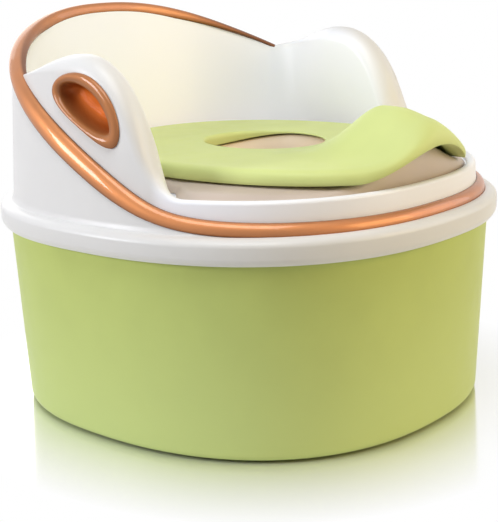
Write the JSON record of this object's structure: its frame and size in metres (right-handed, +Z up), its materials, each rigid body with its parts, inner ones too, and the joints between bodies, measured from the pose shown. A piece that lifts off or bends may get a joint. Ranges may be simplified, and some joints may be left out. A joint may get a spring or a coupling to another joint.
{
  "type": "potty training chair",
  "caption": "Potty chair for a small child with a green tub, white seat with a copper trim and hand grips, lift-out bowl and green seat ring.",
  "frame": {"origin": "on the floor under the middle of the rim's bounding box", "axes": "+Z is up; -Y is the front, the side a seated child faces; +X is the seated child's left"},
  "size_m": [0.345, 0.356, 0.2877],
  "materials": {
    "green_plastic": "satin moulded",
    "pale_green_plastic": "soft satin",
    "white_plastic": "satin gloss",
    "copper_trim": "copper metallic coat",
    "beige_plastic": "satin moulded",
    "screw_steel": "plain",
    "dark_rubber": "matte"
  },
  "bodies": {
    "base": {"base_tub": "green_plastic", "foot_pad_1": "dark_rubber", "foot_pad_2": "dark_rubber", "foot_pad_3": "dark_rubber", "foot_pad_4": "dark_rubber"},
    "seat_top": {"seat_outer_shell": "white_plastic", "seat_inner_shell": "white_plastic", "trim_ring": "copper_trim", "shell_screws": "screw_steel", "hand_grip_right": "copper_trim", "hand_grip_left": "copper_trim"},
    "bowl_pan": {"bowl": "beige_plastic"},
    "ring": {"seat_ring": "pale_green_plastic", "ring_pad_1": "dark_rubber", "ring_pad_2": "dark_rubber", "ring_pad_3": "dark_rubber", "ring_pad_4": "dark_rubber"}
  },
  "joints": [
    {"name": "seat_lift", "type": "slide", "parent": "base", "child": "seat_top", "axis": [0, 0, 1], "range_m": [0, 0.16]},
    {"name": "bowl_lift", "type": "slide", "parent": "seat_top", "child": "bowl_pan", "axis": [0, 0, 1], "range_m": [0, 0.15]},
    {"name": "ring_lift", "type": "slide", "parent": "bowl_pan", "child": "ring", "axis": [0, 0, 1], "range_m": [0, 0.08]}
  ]
}
